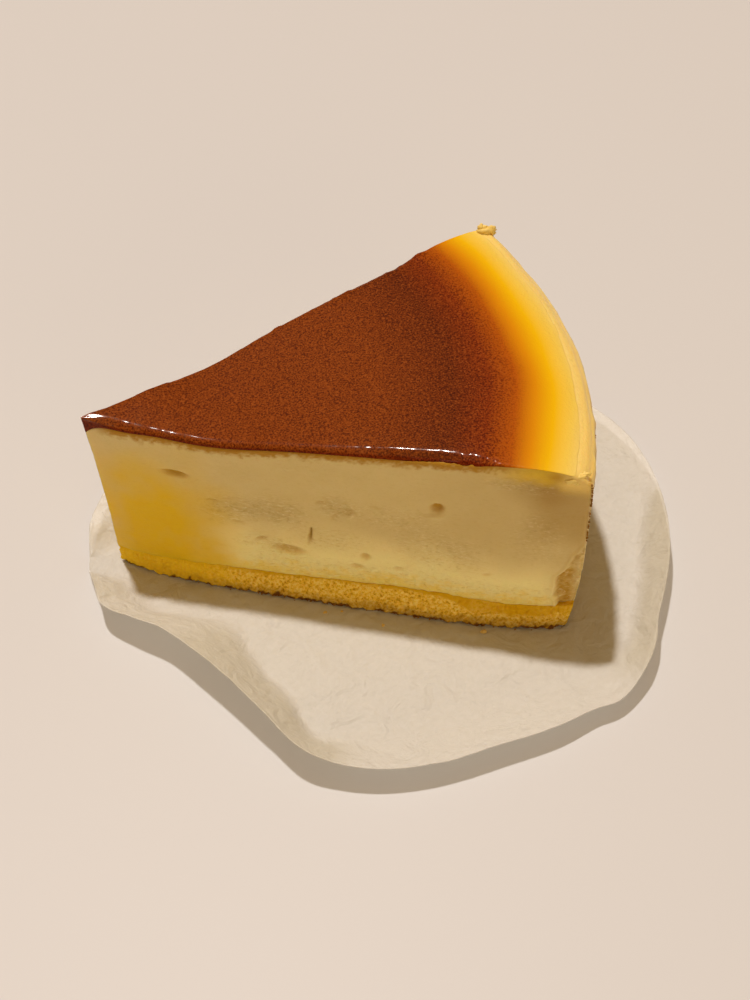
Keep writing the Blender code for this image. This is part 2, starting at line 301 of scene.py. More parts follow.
def attribute(tree, name):
    # a value kept on the mesh's points
    return add(tree, "ShaderNodeAttribute", {"attribute_name": name}).outputs["Fac"]


def noiseAt(tree, place, sizeMm, settings):
    # noise with lumps of about sizeMm
    settings = {"Scale": 1 / (sizeMm * toMetres), **settings}
    return add(tree, "ShaderNodeTexNoise", settings, {"Vector": place}).outputs["Fac"]


def worked(tree, operation, *values):
    # a math node; each value is a number or an output
    numbers = {at: value for at, value in enumerate(values) if isinstance(value, float)}
    outputs = {at: value for at, value in enumerate(values) if not isinstance(value, float)}
    return add(tree, "ShaderNodeMath", {"operation": operation, **numbers}, outputs).outputs["Value"]


def blended(tree, share, colour, other, kind="MIX"):
    # colour turned towards the other by share; each is a hex text or an output
    settings, links = {"blend_type": kind}, {"Fac": share}
    for socket, value in (("Color1", colour), ("Color2", other)):
        if isinstance(value, str):
            settings[socket] = hexColour(value)
        else:
            links[socket] = value
    return add(tree, "ShaderNodeMixRGB", settings, links).outputs["Color"]


def ranged(tree, value, low, high, most):
    # 0 at low, most at high, straight between
    return add(tree, "ShaderNodeMapRange", {"From Min": low, "From Max": high, "To Max": most},
               {"Value": value}).outputs["Result"]


def ramped(tree, value, stops):
    # colour by value; stops are (position, hex) from low to high
    node = add(tree, "ShaderNodeValToRGB", links={"Fac": value})
    elements = node.color_ramp.elements
    while len(elements) < len(stops):
        elements.new(0.5)
    for element, (position, colour) in zip(elements, stops):
        element.position = position
        element.color = hexColour(colour)
    return node.outputs["Color"]


def setSockets(node, sockets):
    # constants straight onto a node's sockets
    for key, value in sockets.items():
        node.inputs[key].default_value = value


def finishShader(tree, shader, look, colour, height, sockets):
    # colour and a bump (strength, distance in metres) into the shader, and its constants
    strength, distance = look["bump"]
    bump = add(tree, "ShaderNodeBump", {"Strength": strength, "Distance": distance}, {"Height": height})
    tree.links.new(colour, shader.inputs["Base Color"])
    tree.links.new(bump.outputs["Normal"], shader.inputs["Normal"])
    setSockets(shader, {"Roughness": look["roughness"], "Subsurface Scale": 1.0, **sockets})


# baked cream cheese, set in the oven and cut with a wet knife: matte, close and a little waxy, light goes a
# few millimetres into it; faint drag lines from the blade, richer yellow low behind the tip, along the
# sponge and under the skin by the rim, and a moist shine round the rim
creamLook = {
    # pale stands partly for painted light bounced up from the paper, shade is painted shade, hollow is
    # darkened as painted shade
    "cream": "#dac484", "light": "#e3cf92", "pale": "#fff0aa", "gold": "#ebc412", "egg": "#ffdf6c",
    "hollow": "#bf9010", "underSkin": "#b68620", "rim": "#f5d678", "shade": "#b2914c", "fleck": "#fff4c4",
    "mottleMm": 7.0, "grainMm": 0.6, "dragMm": 1.1, "stretch": 2.6, "roughness": 0.5,
    # painted shade of the drag lines by their noise, how much of it a rough and a smooth cut get, where the
    # flecks of painted light start
    "dragStops": [(0.34, "#cbb87e"), (0.40, "#efe4c4"), (0.47, "#ffffff")], "roughGain": 0.36,
    "smoothGain": 0.08,
    "fleckRange": (0.56, 0.66, 0.5), "grainRise": 0.18, "bump": (0.8, 0.0009),
}


def bakedCream():
    # two creams mottled together, turned towards each other colour by its value on the mesh; painted shade
    # darkens it along the drag lines and flecks of painted light lighten it where the cut is rough
    look = creamLook
    material, tree, shader = newMaterial("bakedCream")
    place = add(tree, "ShaderNodeTexCoord").outputs["Object"]
    mottle = noiseAt(tree, place, look["mottleMm"], {"Detail": 3.0})
    level = add(tree, "ShaderNodeMapping", {"Scale": (1.0, 1.0, look["stretch"])},
                {"Vector": place}).outputs["Vector"]
    grain = noiseAt(tree, level, look["grainMm"], {"Detail": 5.0, "Roughness": 0.6})
    drag = noiseAt(tree, level, look["dragMm"], {"Detail": 4.0, "Distortion": 0.6})
    rough = attribute(tree, "rough")
    colour = blended(tree, mottle, look["cream"], look["light"])
    for key in ("shade", "pale", "egg", "gold", "rim", "underSkin", "hollow"):
        colour = blended(tree, attribute(tree, key), colour, look[key])
    # painted shade in the hollows of the drag lines, more of it where the cut is rough
    shading = worked(tree, "MULTIPLY_ADD", rough, look["roughGain"], look["smoothGain"])
    colour = blended(tree, shading, colour, ramped(tree, drag, look["dragStops"]), "MULTIPLY")
    # flecks of painted light on the ridges of the drag lines, only where the cut is rough
    fleck = worked(tree, "MULTIPLY", ranged(tree, drag, *look["fleckRange"]), rough)
    colour = blended(tree, fleck, colour, look["fleck"])
    height = worked(tree, "MULTIPLY_ADD", grain, look["grainRise"], worked(tree, "MULTIPLY", drag, rough))
    tree.links.new(attribute(tree, "moist"), shader.inputs["Coat Weight"])
    finishShader(tree, shader, look, colour, height, {
        "IOR": 1.45, "Specular IOR Level": 0.25, "Coat Roughness": 0.12, "Subsurface Weight": 0.3,
        "Subsurface Radius": (0.0030, 0.0018, 0.0008)})
    return material


# the top of the filling browned by the oven and set under a thin clear glaze: deep brown in the middle,
# running through orange and yolk yellow to cream at the rim, a suede-like speckle under the gloss
skinLook = {
    # browning: millimetres in from the rim, colour there
    "stops": [(2, "#f5da84"), (6, "#efcb54"), (10, "#ebb704"), (14, "#d58a01"),
              (18, "#ac5502"), (24, "#7e3104"), (32, "#682a04"), (50, "#7e3a08")],
    "reachMm": 50.0, "glint": "#a85c22", "cut": "#e2b894", "speckleMm": 0.42, "wrinkleMm": 0.9,
    "speckleStops": [(0.36, "#b09a88"), (0.52, "#ffffff")], "glintRange": (0.56, 0.72, 0.42),
    "speckleRise": 0.12, "roughness": 0.55, "bump": (0.6, 0.0006),
}


def bakedSkin():
    # colour by distance from the rim; where it is brown a fine noise darkens it and lifts glints; darker on
    # the cut
    look = skinLook
    material, tree, shader = newMaterial("bakedSkin")
    place = add(tree, "ShaderNodeTexCoord").outputs["Object"]
    brown = attribute(tree, "brown")
    stops = [(far / look["reachMm"], tone) for far, tone in look["stops"]]
    colour = ramped(tree, attribute(tree, "fromRim"), stops)
    speckle = noiseAt(tree, place, look["speckleMm"], {"Detail": 1.0, "Roughness": 0.6})
    colour = blended(tree, brown, colour, ramped(tree, speckle, look["speckleStops"]), "MULTIPLY")
    glint = worked(tree, "MULTIPLY", ranged(tree, speckle, *look["glintRange"]), brown)
    colour = blended(tree, glint, colour, look["glint"])
    colour = blended(tree, attribute(tree, "cutEdge"), colour, look["cut"], "MULTIPLY")
    folds = noiseAt(tree, place, look["wrinkleMm"], {"Detail": 3.0, "Roughness": 0.6})
    folds = worked(tree, "MULTIPLY", folds, attribute(tree, "wrinkled"))
    height = worked(tree, "MULTIPLY_ADD", speckle, look["speckleRise"], folds)
    tree.links.new(attribute(tree, "wet"), shader.inputs["Coat Weight"])
    finishShader(tree, shader, look, colour, height, {
        "IOR": 1.45, "Specular IOR Level": 0.06, "Coat Roughness": 0.13, "Subsurface Weight": 0.1,
        "Subsurface Radius": (0.002, 0.001, 0.0004)})
    return material


# sponge cake baked as a thin sheet: open, dry crumb of egg-yellow bubbles, its top soaked golden by the
# filling and its underside browned by the tin
spongeLook = {
    # deep is painted shade in the pores, bright is painted light on the crumb's tops
    "crumb": "#f1c232", "deep": "#b88a14", "bright": "#ffe27c", "soaked": "#dcac0c", "gold": "#f6cc22",
    "browned": "#6e4416", "poreMm": 0.8, "fineMm": 0.3, "roughness": 0.85,
    "toneAt": (0.32, 0.46, 0.64), "fineRise": 0.4, "bump": (0.5, 0.0004),
}


def spongeCrumb():
    # three tones by the noise of the pores, deep in them as painted shade and bright on the tops as painted
    # light, turned towards soaked, gold and browned by their values on the mesh
    look = spongeLook
    material, tree, shader = newMaterial("spongeCrumb")
    place = add(tree, "ShaderNodeTexCoord").outputs["Object"]
    pores = noiseAt(tree, place, look["poreMm"], {"Detail": 4.0, "Roughness": 0.6})
    fine = add(tree, "ShaderNodeTexVoronoi", {"Scale": 1 / (look["fineMm"] * toMetres)}, {"Vector": place})
    # painted shade in the pores and painted light on the crumb's tops, by the same noise as the bump
    colour = ramped(tree, pores, list(zip(look["toneAt"], (look["deep"], look["crumb"], look["bright"]))))
    for key in ("soaked", "gold", "browned"):
        colour = blended(tree, attribute(tree, key), colour, look[key])
    height = worked(tree, "MULTIPLY_ADD", fine.outputs["Distance"], look["fineRise"], pores)
    finishShader(tree, shader, look, colour, height, {
        "IOR": 1.4, "Specular IOR Level": 0.2, "Subsurface Weight": 0.2,
        "Subsurface Radius": (0.002, 0.0012, 0.0004)})
    return material


# greaseproof paper: wood pulp beaten fine and calendered, off-white, a little see-through, with a faint
# sheen and cloudy fibres; where it stands off the table less light comes back through it, so it is darker
# there
paperLook = {"white": "#f4f4ed", "cloud": "#e6e5db", "lifted": "#efece2", "cloudMm": 1.3, "foldMm": 7.0,
             "foldRise": 4.0, "bump": (0.65, 0.00055), "roughness": 0.5, "alpha": 0.5}


def greaseproofPaper():
    # white and cloud mixed by fine noise, darker where lifted; broad folds and the same noise make the bump
    look = paperLook
    material, tree, shader = newMaterial("greaseproofPaper")
    place = add(tree, "ShaderNodeTexCoord").outputs["Object"]
    cloud = noiseAt(tree, place, look["cloudMm"], {"Detail": 6.0, "Roughness": 0.6})
    colour = blended(tree, cloud, look["white"], look["cloud"])
    colour = blended(tree, attribute(tree, "lifted"), colour, look["lifted"], "MULTIPLY")
    folds = noiseAt(tree, place, look["foldMm"], {"Detail": 3.0, "Roughness": 0.55, "Distortion": 0.8})
    height = worked(tree, "MULTIPLY_ADD", folds, look["foldRise"], cloud)
    finishShader(tree, shader, look, colour, height, {
        "IOR": 1.4, "Specular IOR Level": 0.3, "Alpha": look["alpha"], "Subsurface Weight": 0.4,
        "Subsurface Radius": (0.0004, 0.0004, 0.0004)})
    return material


# loose crumb, torn or rubbed off: dry, uneven in tone from grain to grain
crumbLook = {
    # the darker and the lighter tone of each kind
    "tornCream": ("#dcb62c", "#ffeca0"), "paleCrumb": ("#c9a03c", "#ecd48a"),
    "brownCrumb": ("#6b4416", "#b98a35"),
    "grainsPerMetre": 1200.0, "roughness": 0.8,
}


def crumbMaterial(name):
    # its two tones mixed by fine noise
    look = crumbLook
    material, tree, shader = newMaterial(name)
    place = add(tree, "ShaderNodeTexCoord").outputs["Object"]
    tone = add(tree, "ShaderNodeTexNoise", {"Scale": look["grainsPerMetre"], "Detail": 3.0},
               {"Vector": place}).outputs["Fac"]
    tree.links.new(blended(tree, tone, *look[name]), shader.inputs["Base Color"])
    setSockets(shader, {"Roughness": look["roughness"], "IOR": 1.4})
    return material


skinShape = {
    "thickness": 1.5, "tipThickness": 3.6, "tipRun": 3.0,  # thicker where it hangs over the tip
    "thinsFrom": 84.0, "thinsOver": 20.0, "thinnest": 0.14,
    "endRadius": 111.2, "endWave": 0.4, "proud": 0.12, "edgeRound": 1.5, "poolRound": 1.6,
    # glaze pooled and beaded along the cuts: where along r, half length, height of the beads
    "pools": [(88.0, 8.0, 0.5), (69.0, 6.0, 0.3), (44.0, 8.0, 0.08), (20.0, 6.0, 0.1)],
    # where the glaze on that edge shines: from r, to r, strength, length of the dashes, how much of it is
    # covered
    "glazed": [(-2.0, 8.5, 1.0, 3.4, 1.0), (8.5, 14.0, 0.9, 1.1, 0.0), (17.0, 27.0, 0.6, 0.8, -0.2),
               (40.0, 60.0, 0.6, 1.0, -0.2), (60.0, 71.0, 1.0, 2.0, 0.4), (71.0, 93.0, 1.0, 2.4, 0.8),
               (93.0, 105.0, 0.9, 0.8, 0.0)],
    # the glazed edge leans to the front there: where along r, half length, drop at the cut, all over
    # leanWidth
    "leans": [(5.0, 7.0, 0.34), (80.0, 18.0, 0.36)], "leanWidth": 1.9,
    "edgeBump": 0.03, "edgeBumpMm": 2.6, "beadMm": 3.4, "beadRise": 0.32, "steps": (400, 96, 9),
}


def skinThickness(r):
    # even, but thickening towards the tip, and running out to nearly nothing towards the rim
    s = skinShape
    full = s["thickness"] + s["tipThickness"] * np.exp(-r / s["tipRun"])
    return full * (1 - (1 - s["thinnest"]) * smooth((r - s["thinsFrom"]) / s["thinsOver"]))


def skinEnd(share):
    # radius where the browned skin stops: a nearly even arc that follows the wall's sway
    s = skinShape
    sway = between(sliceShape["sway"], share)
    return s["endRadius"] + sway + s["endWave"] * layered(share * rimArc, 0.0, 3.1, 9.0, 5, 3, 0.6)


def skinEdge(r):
    # radius of the rounded edge along the cuts: larger where the glaze has pooled, and never more than the
    # thin skin by the rim allows
    s = skinShape
    full = s["edgeRound"] + s["poolRound"] * hump(r - 82.0, 18.0)
    return np.minimum(full, 1.1 * skinThickness(r) + 1.8 * smooth((94.0 - r) / 8.0))


def skinRelief(r, share, z, near):
    # low ripples all over; along the cuts and the rim the glaze stands in small beads; by the front cut the
    # edge leans down to the front, by its drop x smooth(1 - depth / leanWidth)
    s = skinShape
    x, y = inPlan(r, share)
    edge = np.maximum(near["front"] ** 0.35, near["back"] ** 0.35)
    height = s["edgeBump"]
    for middle, halfLength, rise in s["pools"]:
        height = height + rise * hump(r - middle, halfLength)
    beads = layered(x, y, z * 0.6, s["edgeBumpMm"], 11, 2, 0.5)
    rimBand = hump(r - skinEnd(share) + 1.5, 2.2)
    wrinkle = layered(r, share * rimArc / 4.5, 0.0, 1.5, 31, 2, 0.5)
    drops = s["beadRise"] * smooth((noise(r, 0.0, 0.0, s["beadMm"], 14) - 0.5) / 0.4) * near["back"]
    lean = 0.0
    for middle, halfLength, drop in s["leans"]:
        lean = lean + drop * hump(r - middle, halfLength)
    lean = lean * smooth(1 + sliceShape["nearMm"] * np.log(near["front"]) / s["leanWidth"])
    top = 0.04 * noise(x, y, 0.0, 6.0, 3) + height * edge * beads + 0.06 * rimBand * wrinkle + drops - lean
    side = s["proud"] + 0.15 * height * layered(x, y, z, 1.4, 12, 2, 0.5) * smooth((98.0 - r) / 12.0)
    return {"top": top, "front": side, "back": side, "wall": 0.15 * noise(share * rimArc, z, 0.0, 1.6, 9)}


def skinValues(r, share, z, near):
    # fromRim runs 0..1 over the browning's reach, a little less by the front cut; wet is the coat of glaze,
    # thin all over and thick in broken dashes on the edge along the front cut
    s = skinShape
    x, y = inPlan(r, share)
    distance = 116.0 - r + 0.7 * layered(x, y, 0.0, 22.0, 41, 2, 0.5) - 1.6 * smooth(1 - share * 2.6)
    fromRim = np.clip(distance / skinLook["reachMm"], 0, 1)
    brown = smooth((distance - 14.0) / 9.0)
    wetDepth = np.minimum(0.35 * skinThickness(r), 0.55)
    low = smooth((topHeight(r, share) - z - wetDepth) / 0.6)
    cut = np.maximum(near["front"], near["back"]) * low
    wrinkled = 0.35 * smooth((r - 106.0) / 4.0) + 0.3 * hump(r - 109.0, 1.5)
    for middle, halfLength, rise in s["pools"]:
        wrinkled = wrinkled + rise * hump(r - middle, halfLength) * near["front"] ** 0.3
    glaze = 0.0
    for start, end, strength, lengthMm, part in s["glazed"]:
        broken = smooth((noise(r, 0.0, 0.0, lengthMm, 45) + part) / 0.3)
        glaze = glaze + strength * broken * smooth((r - start) / 1.5) * smooth((end - r) / 1.5)
    wet = 0.08 + 0.92 * np.clip(glaze, 0, 1) * near["front"] ** 0.35 * (1 - low)
    return {"fromRim": fromRim, "brown": brown, "cutEdge": cut, "wrinkled": np.clip(wrinkled, 0, 1),
            "wet": wet}


def makeSkin(material):
    # the layer on top, from its own underside to the slice's height, ending short of the wall
    s = skinShape
    return layerPiece(
        "brownedTop", material, s["steps"], (0.35, 0.9, 0.0), lambda share, z: skinEnd(share) + 0.0 * z,
        lambda r, share: topHeight(r, share) - skinThickness(r), topHeight,
        {"top": skinEdge, "rim": 0.15, "corner": 1.0, "foot": 0.2}, skinRelief, skinValues)


creamShape = {
    "steps": (330, 36, 104), "rimRound": 1.7, "cornerRound": 1.2,
    # hollows in the front cut: along, height, half length, half height, tilt in degrees, depth
    # the last one is a crack standing upright
    "pits": [(19.2, 35.2, 2.9, 0.8, -6, 1.0), (81.0, 35.6, 1.5, 1.2, 10, 1.3),
             (45.2, 15.4, 3.9, 1.1, -4, 0.7), (38.6, 17.6, 1.6, 0.5, 20, 0.5),
             (64.0, 16.4, 1.2, 0.9, 0, 0.6), (54.0, 32.4, 1.5, 0.35, -8, 0.35),
             (60.3, 30.2, 1.8, 0.9, 15, 0.3), (57.0, 28.2, 0.5, 1.5, -30, 0.3),
             (67.0, 33.0, 1.6, 0.4, -10, 0.25), (29.0, 28.0, 3.2, 0.28, -4, 0.28),
             (33.0, 26.4, 2.6, 0.25, -8, 0.28), (33.5, 22.0, 1.9, 0.3, -10, 0.3),
             (62.0, 12.8, 1.7, 0.7, 0, 0.45), (72.0, 14.0, 1.2, 0.5, 0, 0.4),
             (93.0, 16.0, 1.1, 0.4, 10, 0.3), (50.8, 20.9, 0.34, 2.4, -8, 1.7)],
    # raised lips below some of them, in the same order
    "lips": [(80.6, 32.7, 2.2, 0.55, 12, 0.45), (45.6, 13.6, 3.6, 0.6, -4, 0.3),
             (36.0, 14.8, 2.4, 0.8, 0, 0.25)],
    "tearTop": 33.0, "tearWidth": 6.2, "tearDepth": 1.1,
    # patches where the blade has dragged the cut rough: along, height, half length, half height, strength
    "dragged": [(31.0, 25.5, 6.0, 4.5, 0.7), (43.0, 27.0, 8.0, 4.5, 0.8), (58.0, 31.0, 5.0, 3.5, 0.9),
                (72.0, 30.0, 9.0, 4.0, 0.45), (82.0, 21.0, 11.0, 6.0, 0.6), (56.0, 20.0, 8.0, 4.0, 0.5),
                (41.0, 16.0, 8.0, 3.5, 0.7), (104.0, 30.0, 6.0, 8.0, 0.4), (100.0, 46.0, 8.0, 2.0, 0.5)],
    # darker patches on the cut, added to the painted shade
    "dull": [(43.0, 26.5, 8.0, 4.0, 0.1), (66.0, 27.0, 10.0, 3.0, 0.1), (103.0, 45.0, 7.0, 5.0, 0.3)],
}


def patches(r, z, spots):
    # sum of bells: strength x exp(-(a squared + b squared) to the 1.7), where a and b are measured in half
    # lengths and half heights, turned by the tilt if there is one
    total = 0.0
    for along, height, halfLength, halfHeight, *tilt, strength in spots:
        turn = math.radians(tilt[0]) if tilt else 0.0
        a = (r - along) * math.cos(turn) + (z - height) * math.sin(turn)
        b = (z - height) * math.cos(turn) - (r - along) * math.sin(turn)
        total = total + strength * np.exp(-((a / halfLength) ** 2 + (b / halfHeight) ** 2) ** 1.7)
    return total


def tearShare(r, z):
    # 1 on the strip torn off the outer front corner, 0 elsewhere; its inner border wanders and closes at
    # the top
    c = creamShape
    wander = 1.1 * layered(z, 0.0, 0.0, 5.0, 61, 3, 0.6)
    width = c["tearWidth"] * smooth((c["tearTop"] - z) / 18.0) + wander
    border = 115.4 - np.maximum(width, 0.0) * smooth((c["tearTop"] - z) / 3.0)
    return smooth((r - border) / 1.2) * smooth((c["tearTop"] - z) / 5.0), border


def crumbBand(r, z, share):
    # 1 in the band just over the sponge where the cut has dragged the cream into crumbs
    above = z - layerHeight(r, share)
    return smooth((r - 30) / 9) * smooth((112 - r) / 8) * smooth(above / 0.6) * smooth((8.5 - above) / 5)


def creamRelief(r, share, z, near):
    # blade lines, rough patches and crumbs on the cuts, less the pits, the crack and the torn strip; a
    # ragged wall top
    c = creamShape
    x, y = inPlan(r, share)
    drag = 0.04 * noise(r / 5, z, 0.0, 0.9, 21) + 0.10 * noise(r / 3, z, 0.0, 5.0, 22)
    rough = (0.03 + 0.2 * patches(r, z, c["dragged"])) * layered(r / 1.6, y, z, 1.5, 23, 3, 0.6)
    crumbs = 0.24 * crumbBand(r, z, share) * layered(x, y, z, 1.1, 24, 2, 0.6)
    back = drag + rough + crumbs
    front = back - patches(r, z, c["pits"]) + patches(r, z, c["lips"])
    torn, border = tearShare(r, z)
    front = front - torn * (c["tearDepth"] + 0.6 * layered(r, z, 0.0, 2.6, 25, 3, 0.6))
    front = front + 0.35 * hump(r - border, 0.5) * smooth((c["tearTop"] - z) / 3) * smooth(z / 9)
    arc = share * rimArc
    ragged = smooth((z - 42.0) / 6.0)
    wall = (0.12 + 0.16 * ragged) * layered(arc, z, 0.0, 2.6, 26, 3, 0.65)
    top = 0.07 * layered(r * 1.6, arc / 5.0, 0.0, 1.2, 27, 3, 0.6) * smooth((r - skinEnd(share) - 0.2) / 0.8)
    corner = hump(np.hypot((r - 109.0) / 5.0, arc / 3.0), 1.0)
    top = top + 0.16 * corner * layered(r, arc, 0.0, 1.3, 28, 3, 0.65) * smooth((r - skinEnd(share)) / 1.0)
    return {"front": front, "back": back, "wall": wall, "top": top}


def creamTop(r, share):
    # full height outside the skin, lowered to the skin's underside beneath it
    thick = skinThickness(r)
    under = thick - np.minimum(0.12, 0.4 * thick)
    return topHeight(r, share) - under * smooth((skinEnd(share) - r + 0.6) / 0.8)


def creamValues(r, share, z, near):
    # how far each place on the surface goes towards each of the look's colours: gold low behind the tip and
    # under the skin by the rim; pale above the sponge, for its paler crumbs, and lower on the cut as painted
    # light that stands for light bounced up from the paper; egg along its border, underSkin in a streaky line
    # under the skin; shade towards the wall, which is painted shade; hollow in the pits, the crack and the
    # tear, a deeper gold darkened there as painted shade
    c = creamShape
    x, y = inPlan(r, share)
    wander = 2.2 * layered(x, y, z, 9.0, 51, 2, 0.5)
    streak = layered(r / 3.0, y, z, 1.4, 53, 3, 0.6)
    goldLow = smooth((36.0 - r + wander * 2) / 20.0) * (0.7 + 0.3 * smooth((32 - z) / 14))
    blotch = 1.04 + 0.2 * layered(x, y, z, 4.5, 55, 2, 0.6)
    gold = goldLow * smooth((46.0 - z + 1.5 * wander) / 18.0) * blotch * (0.7 + 0.3 * smooth((r - 1.0) / 6.0))
    above = z - layerHeight(r, share)
    # pale low on the cut is painted light, for light bounced up from the paper; the crumb band adds the
    # crumbs' own paler colour
    pale = smooth((26.0 - z + wander) / 13.0) * smooth((r - 18) / 16.0) * smooth((114.0 - r) / 10.0)
    pale = pale + crumbBand(r, z, share) * (0.2 + 0.4 * layered(x, y, z, 1.1, 52, 2, 0.6))
    egg = 0.85 * smooth((5.0 - above + 1.6 * streak) / 4.5) * smooth((112.0 - r) / 8.0)
    depth = topHeight(r, share) - skinThickness(r) - z
    goldEdge = smooth((6.0 + 0.8 * streak - depth) / 4.5) * hump(r - 103.0, 8.0)
    rim = smooth((r - 106.0) / 4.0) * smooth((z - 44.0) / 5.0)
    fineStreak = layered(r / 1.6, y, z, 0.8, 54, 3, 0.6)
    underSkin = smooth((2.7 + 0.9 * fineStreak - depth) / 2.0) * smooth((r - 1.0) / 6.0)
    underSkin = underSkin * (1 - 0.8 * smooth((r - 93.0) / 8.0))
    # painted shade: the cut darker towards the wall and high up by the rim, where less light reaches it
    shade = 0.22 * smooth((r - 68.0) / 26.0) * smooth((z - 14.0 + wander) / 16.0) + patches(r, z, c["dull"])
    shade = shade + 0.5 * smooth((r - 98.0) / 10.0) * smooth((z - 24.0 + wander) / 12.0)
    shade = shade * near["front"]
    # hollow: a deeper gold in the pits, the crack, the torn strip and the front top corner, darker there as
    # painted shade
    hollow = patches(r, z, [(*pit[:-1], min(1.0, pit[-1])) for pit in c["pits"]])
    torn = tearShare(r, z)[0]
    inTear = torn * (0.6 + 0.35 * layered(r, z, 0.0, 2.6, 25, 3, 0.6)) * (1 - 0.8 * smooth((r - 112.0) / 2.0))
    hollow = near["front"] * (0.9 * hollow + inTear)
    corner = hump(np.hypot((r - 107.0) / 1.8, (z - 49.8) / 1.3), 1.0) * near["front"]
    moist = 0.5 * smooth((r - 108.0) / 3.0) * smooth((z - 47.0) / 2.0)
    rough = patches(r, z, c["dragged"]) + 0.6 * crumbBand(r, z, share) + 0.6 * torn * near["front"]
    rough = rough + 0.1 * rim
    values = {"gold": gold + 0.8 * goldEdge, "pale": pale, "egg": egg, "rim": rim, "shade": shade,
              "moist": moist,
              "underSkin": underSkin * np.maximum(near["front"], near["back"]),
              "hollow": hollow + 0.8 * corner,
              "rough": rough}
    return {key: np.clip(value, 0, 1) for key, value in values.items()}


def makeCream(material):
    # the layer from the sponge's slope to the underside of the skin
    c = creamShape
    return layerPiece(
        "creamFilling", material, c["steps"], (0.3, 0.9, 0.3), lambda share, z: wallRadius(z, share),
        layerHeight, creamTop,
        {"top": lambda r: 1.0 - 0.8 * smooth((r - 88.0) / 6.0) * smooth((112.0 - r) / 2.0),
         "rim": c["rimRound"],
         "corner": c["cornerRound"], "foot": 0.15}, creamRelief, creamValues)


spongeShape = {"steps": (520, 24, 30), "poreMm": 1.1, "poreDepth": 0.3, "ragged": 0.32, "lowered": 0.35}


def spongeRelief(r, share, z, near):
    # open crumb: bubbles cut through, and torn bits along the underside
    s = spongeShape
    x, y = inPlan(r, share)
    bubbles = layered(x, y, z, s["poreMm"], 71, 3, 0.65)
    crumb = -s["poreDepth"] * smooth((bubbles - 0.1) / 0.5) + 0.22 * layered(x, y, z, 0.7, 72, 2, 0.6)
    torn = s["ragged"] * near["under"] * layered(x, y, z, 1.6, 73, 3, 0.6)
    seam = smooth((layerHeight(r, share) - z) / 0.5)
    side = crumb * seam + torn
    step = 0.15 * smooth((layerHeight(r, share) - z) / 1.0) * smooth((r - 20.0) / 20.0)
    return {"front": side + step, "back": side, "wall": side * 0.8,
            "under": 0.25 * layered(x, y, 0.0, 2.0, 74, 2, 0.6)}


def spongeValues(r, share, z, near):
    # soaked by depth under the filling, gold towards the tip, browned by height over the underside and at
    # the wall
    x, y = inPlan(r, share)
    below = layerHeight(r, share) - z
    wave = 0.5 * layered(x, y, 0.0, 6.0, 81, 3, 0.6)
    deeper = 1.4 + 2.4 * smooth((r - 78.0) / 14.0)   # the filling has soaked further in towards the rim
    soaked = smooth((deeper + wave - below) / 1.3) * (0.85 + 0.3 * noise(x, y, 0.0, 4.0, 83))
    gold = 0.9 * smooth((40.0 - r + 3.0 * layered(x, y, z, 4.0, 84, 2, 0.6)) / 20.0)
    browned = 0.9 * smooth((0.6 + 0.7 * layered(x, y, z, 1.6, 82, 3, 0.6) - z) / 0.8)
    low = smooth((3.2 + 0.8 * layered(x, y, z, 1.2, 85, 2, 0.6) - z) / 2.4)
    browned = browned + (0.34 * smooth((r - 4.0) / 24.0) + 0.14 * smooth((r - 60.0) / 20.0)) * low
    browned = np.maximum(browned, 0.45 * smooth((r - 86.0) / 12.0) * smooth((5.0 - z) / 5.0))
    return {"soaked": np.clip(soaked, 0, 1), "gold": np.clip(gold, 0, 1), "browned": np.clip(browned, 0, 1)}


def makeSponge(material):
    # the layer under the filling, a little lower than the slice's underside so that it meets the paper
    s = spongeShape
    return layerPiece(
        "spongeBase", material, s["steps"], (0.2, 0.85, 0.1), lambda share, z: wallRadius(z, share),
        lambda r, share: -s["lowered"] + 0.0 * r, lambda r, share: layerHeight(r, share) - 0.02,
        {"top": lambda r: 0.1 + 0.0 * r, "rim": 0.1, "corner": 1.2, "foot": 0.35}, spongeRelief, spongeValues)


